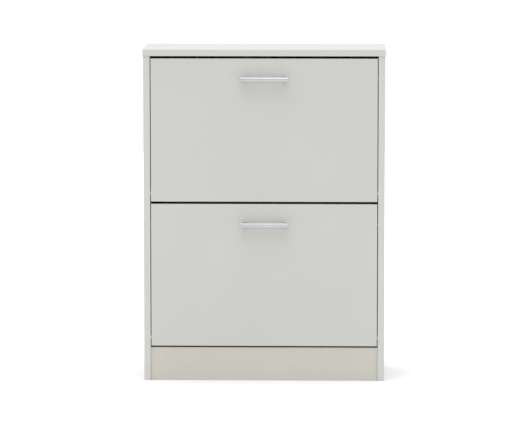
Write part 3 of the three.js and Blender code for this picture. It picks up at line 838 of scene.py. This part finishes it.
def cross_cutter(reach, width, depth, top):
    """A four-winged driver recess: as wide as reach at the mouth, tapering to its bottom."""
    rings = []
    for z, scale in ((top - depth, RECESS_TAPER), (top + 0.2, 1.0)):
        far, near = reach * scale, width / 2 * (0.7 + 0.3 * scale)
        plus = [(near, near), (near, far), (-near, far), (-near, near), (-far, near), (-far, -near)]
        plus += [(-near, -near), (-near, -far), (near, -far), (near, -near), (far, -near), (far, near)]
        rings.append([(x, y, z) for x, y in plus])
    return loft(rings, 1)


# ---- Cams and cam bolts -----------------------------------------------------------------------------------

CAM_FACE_DROP = 0.5  # from the rim of a cam down to its face
CAM_RECESS = {"reach": 4.4, "width": 1.7, "depth": 3.4}
CAM_TURN = 0.3  # radians that a cam may stand off square
CAM_MOUTH_RADIUS = 3.3
CAM_MOUTH_DROP = 3  # of the bolt's mouth below the cam's middle

# A cam bolt, upwards: a ball end in the cam, a neck, and a threaded end in the top panel.
BOLT_STEM = [(0, 0), (0, 2), (0.6, 2.9), (2.2, 3), (3.6, 2.4), (4.4, 1.8), (9, 1.8), (9.6, 2.4), (33, 2.4)]
BOLT_STEM += [(33.4, 3), (36.6, 3)]
BOLT_PITCH = 1.6
BOLT_LENGTH = 47.7
BOLT_ROOT, BOLT_CREST, BOLT_TIP = 2.3, 3, 1.8  # radii of its thread and its chamfered end


def cam_profile(depth):
    """From its blind end: a chamfer, a groove round the drum, and a low rim round the face."""
    drum = [(0, 0), (0, 7.1), (0.4, 7.5), (depth - 1.2, 7.5), (depth - 1, 7), (depth - 0.6, 7.5)]
    rim = [(depth - 0.3, 7.5), (depth, 7.2), (depth, 5.9), (depth - CAM_FACE_DROP, 5.6)]
    return drum + rim + [(depth - CAM_FACE_DROP, 0)]


def cam(place, side, sign):
    """A zinc cam flush with the side panel's inner face, with a cross recess and a mouth for its bolt."""
    node = f"cam_{place}_{side}"
    low, high = cad(node)
    middle = (low + high) / 2
    depth = high.x - low.x
    recess = cross_cutter(top=depth - CAM_FACE_DROP, **CAM_RECESS)
    mesh = shaped(turned(cam_profile(depth)), "DIFFERENCE", recess)
    inner_x = low.x if sign > 0 else high.x
    blind_end = Vector((inner_x + sign * depth, middle.y, middle.z)) * MM
    towards_middle = Matrix.Rotation(-sign * math.pi / 2, 4, "Y")
    spin = Matrix.Rotation(chance.uniform(-CAM_TURN, CAM_TURN), 4, "Z")
    mesh.transform(Matrix.Translation(blind_end) @ towards_middle @ spin)
    bolt_line = (centre_of(f"cam_bolt_{place}_{side}").x, middle.y, 0)
    mouth = rod(middle.z - CAM_MOUTH_DROP, high.z + PAST, CAM_MOUTH_RADIUS, "Z", bolt_line)
    piece(node, shaped(mesh, "DIFFERENCE", mouth), smooth=CRISP_SMOOTH, suffix="turned")


def bolt_profile():
    profile = list(BOLT_STEM)
    along = BOLT_STEM[-1][0]
    while along + BOLT_PITCH < BOLT_LENGTH - 1:
        profile += [(along + BOLT_PITCH * 0.6, BOLT_ROOT), (along + BOLT_PITCH, BOLT_CREST)]
        along += BOLT_PITCH
    return profile + [(BOLT_LENGTH, BOLT_TIP), (BOLT_LENGTH, 0)]


def cam_bolt(place, side):
    node = f"cam_bolt_{place}_{side}"
    foot = centre_of(node)
    foot.z = cad(node)[0].z
    piece(node, turned(bolt_profile(), "Z", foot, FINE_ROUND), smooth=CRISP_SMOOTH, suffix="turned")


def cams():
    for side, sign in SIDES:
        for place in CAM_PLACES:
            cam(place, side, sign)
            cam_bolt(place, side)


# ---- Screws -----------------------------------------------------------------------------------------------

HANDLE_SCREW = {
    "length": 25, "radius": 2, "head_radius": 4.2, "head_height": 2.6, "pitch": 0.7, "pointed": False,
}
RACK_SCREW = {
    "length": 14, "radius": 1.75, "head_radius": 4, "head_height": 2.4, "pitch": 1.4, "pointed": True,
}
BRACKET_SCREW = {**RACK_SCREW, "length": 11}
THREAD_ROOT, SHANK = 0.76, 0.85  # of the thread's radius
CROWN_STEPS = 6


def screw_mesh(length, radius, head_radius, head_height, pitch, pointed):
    """A pan-headed cross-recess screw along Z. Its head stands on z = 0 and its threads point down."""
    tip_radius = 0.15 if pointed else radius * 0.8
    profile = [(-length, 0), (-length, tip_radius)]
    along = -length + (radius * 2 if pointed else radius * 0.5)
    while along < -pitch * 2:
        profile += [(along, radius), (along + pitch / 2, radius * THREAD_ROOT)]
        along += pitch
    profile += [(along, radius * SHANK), (0, radius * SHANK), (0, head_radius * 0.94), (0.2, head_radius)]
    crown_start = head_height * 0.4
    profile.append((crown_start, head_radius))
    for step in range(1, CROWN_STEPS):
        turn = step / CROWN_STEPS * math.pi / 2
        rise = crown_start + (head_height - crown_start) * math.sin(turn)
        profile.append((rise, head_radius * math.cos(turn) ** 0.5))
    profile.append((head_height, 0))
    recess = cross_cutter(head_radius * 0.56, head_radius * 0.24, head_height * 0.75, head_height)
    return shaped(turned(profile), "DIFFERENCE", recess)


def screw(node, mesh, seat, facing):
    """Stands a screw on its seat (mm) with its head facing +Y or -Z, turned to where its driver left it."""
    tilt = -math.pi / 2 if facing == "+Y" else math.pi
    spin = Matrix.Rotation(chance.uniform(0, math.pi), 4, "Z")
    place = Matrix.Translation(Vector(seat) * MM) @ Matrix.Rotation(tilt, 4, "X") @ spin
    piece(node, mesh, place=place, smooth=CRISP_SMOOTH, suffix="cross")


def screw_on_front(node, mesh, head_height):
    low, high = cad(node)
    middle = (low + high) / 2
    screw(node, mesh, (middle.x, high.y - head_height, middle.z), "+Y")


def screws():
    handle_screw = screw_mesh(**HANDLE_SCREW)
    rack_screw = screw_mesh(**RACK_SCREW)
    for flap in FLAPS:
        for side, _ in SIDES:
            screw_on_front(f"{flap}_handle_screw_{side}", handle_screw, HANDLE_SCREW["head_height"])
            for number in (1, 2):
                node = f"{flap}_rack_screw_{side}_{number}"
                screw_on_front(node, rack_screw, RACK_SCREW["head_height"])
    low, high = cad("bracket_screw")
    middle = (low + high) / 2
    seat = (middle.x, middle.y, low.z + BRACKET_SCREW["head_height"])
    screw("bracket_screw", screw_mesh(**BRACKET_SCREW), seat, "-Z")


# ---- Wall bracket -----------------------------------------------------------------------------------------

BRACKET_THICKNESS = 2
BRACKET_BEND = 2.4  # radius inside the bend
BRACKET_CORNER = 5  # radius of the legs' end corners
BRACKET_ROUND = 0.3
CORNER_STEPS = 8
SCREW_HOLE_RADIUS = 2.2
WASTE_DEPTH, HOLE_DEPTH = 5, 6  # of the cutters, from a leg's outer face


def bracket_outline(low, high):
    """The two legs from the side, joined by a bend."""
    turn_y = high.y - BRACKET_BEND - BRACKET_THICKNESS
    turn_z = high.z - BRACKET_BEND - BRACKET_THICKNESS
    outer = arc((turn_y, turn_z), BRACKET_BEND + BRACKET_THICKNESS, 0, math.pi / 2, CORNER_STEPS)
    inner = arc((turn_y, turn_z), BRACKET_BEND, math.pi / 2, 0, CORNER_STEPS)
    top_end = [(low.y, high.z), (low.y, high.z - BRACKET_THICKNESS)]
    return [(high.y, low.z), *outer, *top_end, *inner, (high.y - BRACKET_THICKNESS, low.z)]


def corner_waste(sign, half_width, end):
    """What is cut off one corner of a leg to round it, as points (x, along the leg)."""
    tip = Vector((sign * half_width, end))
    middle = Vector((tip.x - sign * BRACKET_CORNER, tip.y + BRACKET_CORNER))
    start = -math.pi / 2
    finish = 0.0 if sign > 0 else -math.pi
    turns = [start + (finish - start) * i / CORNER_STEPS for i in range(1, CORNER_STEPS + 1)]
    curve = [middle + Vector((math.cos(turn), math.sin(turn))) * BRACKET_CORNER for turn in turns]
    beside = tip.x + sign * PAST
    below = [Vector((beside, tip.y - PAST)), Vector((middle.x, tip.y - PAST)), Vector((middle.x, tip.y))]
    return below + curve + [Vector((beside, middle.y))]


def wall_bracket():
    """Steel bent to a right angle: one leg under the top, one against the back, with rounded corners."""
    low, high = cad("wall_bracket")
    half_width = (high.x - low.x) / 2
    mesh = eased(prism(bracket_outline(low, high), low.x, high.x), BRACKET_ROUND)
    across_y = (high.y - WASTE_DEPTH, high.y + PAST)
    across_z = (high.z - WASTE_DEPTH, high.z + PAST)
    cuts = []
    for _, sign in SIDES:
        waste = corner_waste(sign, half_width, low.y)
        cuts.append(loft([[(p.x, p.y, z) for p in waste] for z in across_z]))
        waste = corner_waste(sign, half_width, low.z)
        cuts.append(loft([[(p.x, y, p.y) for p in waste] for y in across_y]))
    screw_line = (0, centre_of("bracket_screw").y, 0)
    cuts.append(rod(high.z - HOLE_DEPTH, high.z + PAST, SCREW_HOLE_RADIUS, "Z", screw_line))
    cuts.append(rod(high.y - HOLE_DEPTH, high.y + PAST, WALL_HOLE_RADIUS, "Y", (0, 0, wall_hole_z())))
    piece("wall_bracket", shaped(mesh, "DIFFERENCE", *cuts), suffix="pressing")


# ---- Handle -----------------------------------------------------------------------------------------------

BAR_HALF_LENGTH, BAR_HALF_HEIGHT, BAR_DEPTH = 59.5, 6, 7
BAR_REAR = -26  # in front of the hinge axis, like the posts
BAR_EDGE = 1.1  # rounding of the bar's long edges and ends
BAR_SQUARENESS = 3.4  # 2 is a plain oval
BAR_STEPS, EDGE_STEPS = 36, 6
POST_X = 48
# A post, from inside the bar back to its spread foot on the front.
POST = [(-30, 0), (-30, 5), (-11.5, 5), (-9.8, 5.2), (-8.8, 5.8), (-8.3, 6), (-8, 6), (-8, 0)]


def flattened(value):
    """Turns a circle's sine or cosine into that of an oval with flatter sides."""
    return math.copysign(abs(value) ** (2 / BAR_SQUARENESS), value)


def bar_section(inset):
    """Flat behind, and in front a flattened oval. inset is how much smaller it is all round."""
    height, depth = BAR_HALF_HEIGHT - inset, BAR_DEPTH - 2 * inset
    rear = BAR_REAR - inset
    crown = depth - BAR_EDGE
    edge_y = rear - BAR_EDGE
    turns = [math.pi * i / BAR_STEPS for i in range(1, BAR_STEPS)]
    front = [(edge_y - crown * flattened(math.sin(t)), height * flattened(math.cos(t))) for t in turns]
    top = arc((edge_y, height - BAR_EDGE), BAR_EDGE, 0, math.pi / 2, EDGE_STEPS)
    bottom = arc((edge_y, BAR_EDGE - height), BAR_EDGE, -math.pi / 2, 0, EDGE_STEPS)
    return top + front + bottom


def bar_stations():
    """Places along the bar and the inset there, which rounds its ends."""
    turns = [math.pi / 2 * i / EDGE_STEPS for i in range(EDGE_STEPS + 1)]
    end = [(BAR_HALF_LENGTH - BAR_EDGE * (1 - math.sin(t)), BAR_EDGE * (1 - math.cos(t))) for t in turns]
    return [(-x, inset) for x, inset in reversed(end)] + end


def handle(flap):
    """A satin bar on two round posts with slightly spread feet."""
    bar = loft([[(x, y, z) for y, z in bar_section(inset)] for x, inset in bar_stations()])
    posts = [turned(POST, "Y", (sign * POST_X, 0, 0)) for _, sign in SIDES]
    mesh = shaped(bar, "UNION", *posts)
    place = Matrix.Translation(Vector((0, axis_of(flap).y, centre_of(f"{flap}_handle").z * MM)))
    piece(f"{flap}_handle", mesh, place=place, smooth=SOFT_SMOOTH, suffix="bar")


# ---- Rack cheeks ------------------------------------------------------------------------------------------

# Places are (y, z) from the hinge axis with the flap closed. CHEEK_X is the right cheek's outer face.
FRONT_INSIDE = 8.3
CHEEK_X = 275.5
CHEEK_FOOT, CHEEK_TOP, CHEEK_ARC = -10, 318, 326  # the arc's radius is about the hinge axis
REAR_FOOT, REAR_SLOPE = 160, 46 / 260
PLATE, RIM, RIM_DEPTH = 5, 2.5, 14  # thickness, thickness, and reach from the outer face
INNER_X = CHEEK_X - PLATE
END_ROUND, OUTER_ROUND, INNER_ROUND = 1.5, 9, 6.5  # corner radii
ARC_STEPS, GROOVE_STEPS, GROOVE_END_STEPS = 40, 32, 14
OVERLAP = 0.5  # how far a gusset runs into what it is joined to

FLANGE_REACH, FLANGE_THICKNESS, FLANGE_INSET = 20, 3, 2
FLANGE_HOLES = (36, 282)
FLANGE_HOLE_X, FLANGE_HOLE_RADIUS = 262.5, 2.05
GUSSETS = (70, 120, 170, 220, 250)
GUSSET_REACH, GUSSET_THICKNESS = 12, 1.8

SHEET_SLOT, RIB, RIB_HEIGHT = 3.5, 2, 9
FLOOR_Z = -3.5
FLOOR_FRONT, FLOOR_REAR = 3.3, 1.3  # from the cheek's front edge, and from its rear rim
DIVIDER_LINE = ((84, 0), (106, 216))
REAR_SHEET_TOP = 242
OPEN_END = 8  # a slot runs out past its ribs, so that a sheet slides in

STOP_RADIUS = 120  # of the stop peg about the hinge axis
STOP_CLOSED = math.atan2(117.4, 24.9)
STOP_OPEN = STOP_CLOSED - math.radians(45)
GROOVE_HALF, GROOVE_DEPTH = 4.4, 3.5
LAND_HALF = 9  # from the groove's middle to the panel round it

PANEL_INSET, PANEL_ROUND, PANEL_DEPTH = 12, 5, 0.8
EJECTOR_MARKS = ((40, 60), (60, 200), (150, 120), (60, 290))
MARK_RADIUS, MARK_HEIGHT = 3, 0.25


def rear_edge(z, inset):
    return REAR_FOOT + (z - CHEEK_FOOT) * REAR_SLOPE - inset * math.hypot(1, REAR_SLOPE)


def cheek_outline(inset, corner):
    """A cheek's outline moved in by inset, with its upper rear on a circle about the hinge axis."""
    radius, top, foot = CHEEK_ARC - inset, CHEEK_TOP - inset, CHEEK_FOOT + inset
    base = rear_edge(0, inset)
    lean, half = 1 + REAR_SLOPE**2, base * REAR_SLOPE
    meet = (-half + math.sqrt(half**2 - lean * (base**2 - radius**2))) / lean
    curve = arc((0, 0), radius, math.asin(meet / radius), math.asin(top / radius), ARC_STEPS)
    front = FRONT_INSIDE + inset
    outline = [(front, foot), (rear_edge(foot, inset), foot), *curve, (front, top)]
    radii = [END_ROUND, corner, *([0] * len(curve)), END_ROUND]
    return rounded(outline, radii)


def groove_outline(reach, start, end):
    """A bent slot with round ends about the hinge axis, where the stop peg runs."""
    place = [(STOP_RADIUS * math.cos(turn), STOP_RADIUS * math.sin(turn)) for turn in (start, end)]
    outline = arc((0, 0), STOP_RADIUS + reach, start, end, GROOVE_STEPS)
    outline += arc(place[1], reach, end, end + math.pi, GROOVE_END_STEPS)[1:-1]
    outline += arc((0, 0), STOP_RADIUS - reach, end, start, GROOVE_STEPS)
    outline += arc(place[0], reach, start + math.pi, start + 2 * math.pi, GROOVE_END_STEPS)[1:-1]
    return outline


def sheet_lines():
    """The middle lines of the rack's floor, divider and rear board, as (foot, head)."""
    floor = ((FRONT_INSIDE + FLOOR_FRONT, FLOOR_Z), (rear_edge(FLOOR_Z, RIM + FLOOR_REAR), FLOOR_Z))
    inset = RIM + SHEET_SLOT / 2
    rear = ((rear_edge(0, inset), 0), (rear_edge(REAR_SHEET_TOP, inset), REAR_SHEET_TOP))
    return floor, DIVIDER_LINE, rear


def sheet_guides():
    """A pair of ribs for each sheet, and the slots between them."""
    reach = (SHEET_SLOT + RIB) / 2
    ribs, slots = [], []
    for sheet, (foot, head) in zip(("floor", "divider", "rear"), sheet_lines()):
        along = (Vector(head) - Vector(foot)).normalized()
        side = Vector((-along.y, along.x)) * reach
        for shift in (side, -side):
            line = strip(Vector(foot) + shift, Vector(head) + shift, RIB)
            ribs.append(prism(line, INNER_X + PAST, INNER_X - RIB_HEIGHT))
        end = Vector(head) + along * (0 if sheet == "floor" else OPEN_END)
        slots.append(prism(strip(foot, end, SHEET_SLOT), INNER_X, INNER_X - RIB_HEIGHT - PAST))
    return ribs, slots


def gusset(z):
    """A small triangular web between the screw flange and the plate."""
    x, y = INNER_X + OVERLAP, FRONT_INSIDE + FLANGE_THICKNESS - OVERLAP
    triangle = ((x, y), (x, y + GUSSET_REACH), (INNER_X - GUSSET_REACH, y))
    heights = (z - GUSSET_THICKNESS / 2, z + GUSSET_THICKNESS / 2)
    return loft([[(px, py, height) for px, py in triangle] for height in heights])


def outer_panel():
    """The shallow panel sunk into the outer face, short of the land round the stop groove."""
    panel = prism(cheek_outline(PANEL_INSET, PANEL_ROUND), CHEEK_X + PAST, CHEEK_X - PANEL_DEPTH)
    land = prism(groove_outline(LAND_HALF, STOP_OPEN, STOP_CLOSED), CHEEK_X + 2 * PAST, CHEEK_X - 2 * PAST)
    return shaped(panel, "DIFFERENCE", land)


def screw_flange():
    return box(
        (CHEEK_X - FLANGE_REACH, FRONT_INSIDE, CHEEK_FOOT + FLANGE_INSET),
        (CHEEK_X - 1, FRONT_INSIDE + FLANGE_THICKNESS, CHEEK_TOP - FLANGE_INSET),
    )


def cheek_mesh():
    """The right cheek: a rimmed plate with screw flange, guide ribs, stop groove and sunk outer panel."""
    open_face = CHEEK_X - RIM_DEPTH
    body = prism(cheek_outline(0, OUTER_ROUND), CHEEK_X, open_face)
    body = shaped(body, "DIFFERENCE", prism(cheek_outline(RIM, INNER_ROUND), INNER_X, open_face - PAST))
    body = shaped(body, "UNION", screw_flange())
    ribs, slots = sheet_guides()
    body = shaped(body, "UNION", *[gusset(z) for z in GUSSETS], *ribs)
    mark_x = (INNER_X - MARK_HEIGHT, INNER_X + PAST)
    body = shaped(body, "UNION", *[rod(*mark_x, MARK_RADIUS, "X", (0, y, z)) for y, z in EJECTOR_MARKS])
    groove_x = (CHEEK_X + PAST, CHEEK_X - GROOVE_DEPTH)
    groove = prism(groove_outline(GROOVE_HALF, STOP_OPEN, STOP_CLOSED), *groove_x)
    holes = [rod(0, 20, FLANGE_HOLE_RADIUS, "Y", (FLANGE_HOLE_X, 0, z)) for z in FLANGE_HOLES]
    return shaped(body, "DIFFERENCE", *slots, groove, *holes, outer_panel())


def cheeks():
    right = cheek_mesh()
    left = right.copy()
    left.transform(Matrix.Diagonal((-1, 1, 1, 1)))
    left.flip_normals()
    for flap in FLAPS:
        place = Matrix.Translation(axis_of(flap))
        for side, mesh in (("left", left), ("right", right)):
            piece(f"{flap}_cheek_{side}", mesh, place=place, suffix="moulding")


# ---- The cabinet ------------------------------------------------------------------------------------------

boards()
back_board("back_board_lower", (BASE_NAILS, RAIL_FOOT_NAILS))
back_board("back_board_upper", (RAIL_HEAD_NAILS,))
wall_bracket()
cams()
side_fittings()
screws()
cheeks()
for flap_name in FLAPS:
    handle(flap_name)
    for sheet_name in ("floor", "divider", "rear"):
        rack_board(f"{flap_name}_rack_{sheet_name}")

left_over = [node for node, shown in frame["nodes"].items() if not shown.hide_render]
if left_over:
    raise RuntimeError(f"CAD nodes without a piece: {left_over}")

camera()
studio()
